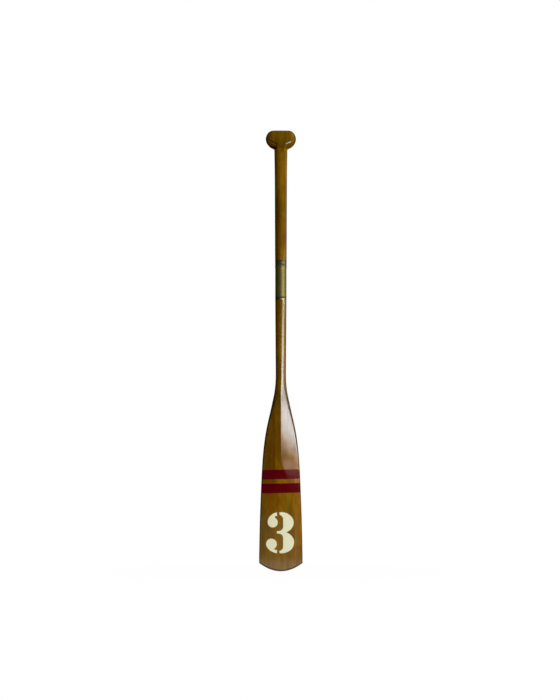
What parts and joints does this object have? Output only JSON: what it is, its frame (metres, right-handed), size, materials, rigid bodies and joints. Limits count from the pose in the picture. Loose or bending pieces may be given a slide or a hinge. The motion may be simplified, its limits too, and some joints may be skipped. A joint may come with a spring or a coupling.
{
  "type": "oar",
  "caption": "Take-apart wooden oar with a broad palm grip, round tapering shaft, brass screw ferrule and a long flat blade of glued staves.",
  "frame": {"origin": "middle of the blade's tip, at the bottom of the oar and on the shaft's axis", "axes": "+Z along the shaft from the blade's tip to the grip, +X across the blade's width, -Y out of the blade's front face"},
  "size_m": [0.1478, 0.044, 1.5],
  "materials": {
    "varnished_wood": "clear varnish, satin to gloss",
    "antique_brass": "satin, aged",
    "darkened_brass": "satin, darkened",
    "washer_leather": "oiled"
  },
  "bodies": {
    "handle_half": {"upper_shaft": "varnished_wood", "grip_cheek_left": "varnished_wood", "grip_cheek_right": "varnished_wood", "grip_dowel_lower": "varnished_wood", "grip_dowel_upper": "varnished_wood", "screw_fitting": "darkened_brass", "fitting_pin": "antique_brass"},
    "washer": {"joint_washer": "washer_leather"},
    "blade_half": {"ferrule_sleeve": "antique_brass", "threaded_bush": "antique_brass", "sleeve_pin_lower": "antique_brass", "sleeve_pin_upper": "antique_brass", "loom": "varnished_wood", "blade_wing_left_inner": "varnished_wood", "blade_wing_left_outer": "varnished_wood", "blade_wing_right_inner": "varnished_wood", "blade_wing_right_outer": "varnished_wood"}
  },
  "joints": [
    {"name": "unscrew", "type": "hinge", "parent": "handle_half", "child": "washer", "pos_m": [0, 0, 1.0465], "axis": [0, 0, -1], "range_deg": [0, 1800]},
    {"name": "screw_travel", "type": "slide", "parent": "washer", "child": "blade_half", "axis": [0, 0, -1], "range_m": [0, 0.02501]}
  ],
  "couplings": [
    {"joint": "screw_travel", "follows": "unscrew", "m_per_rad": 0.00079577}
  ]
}
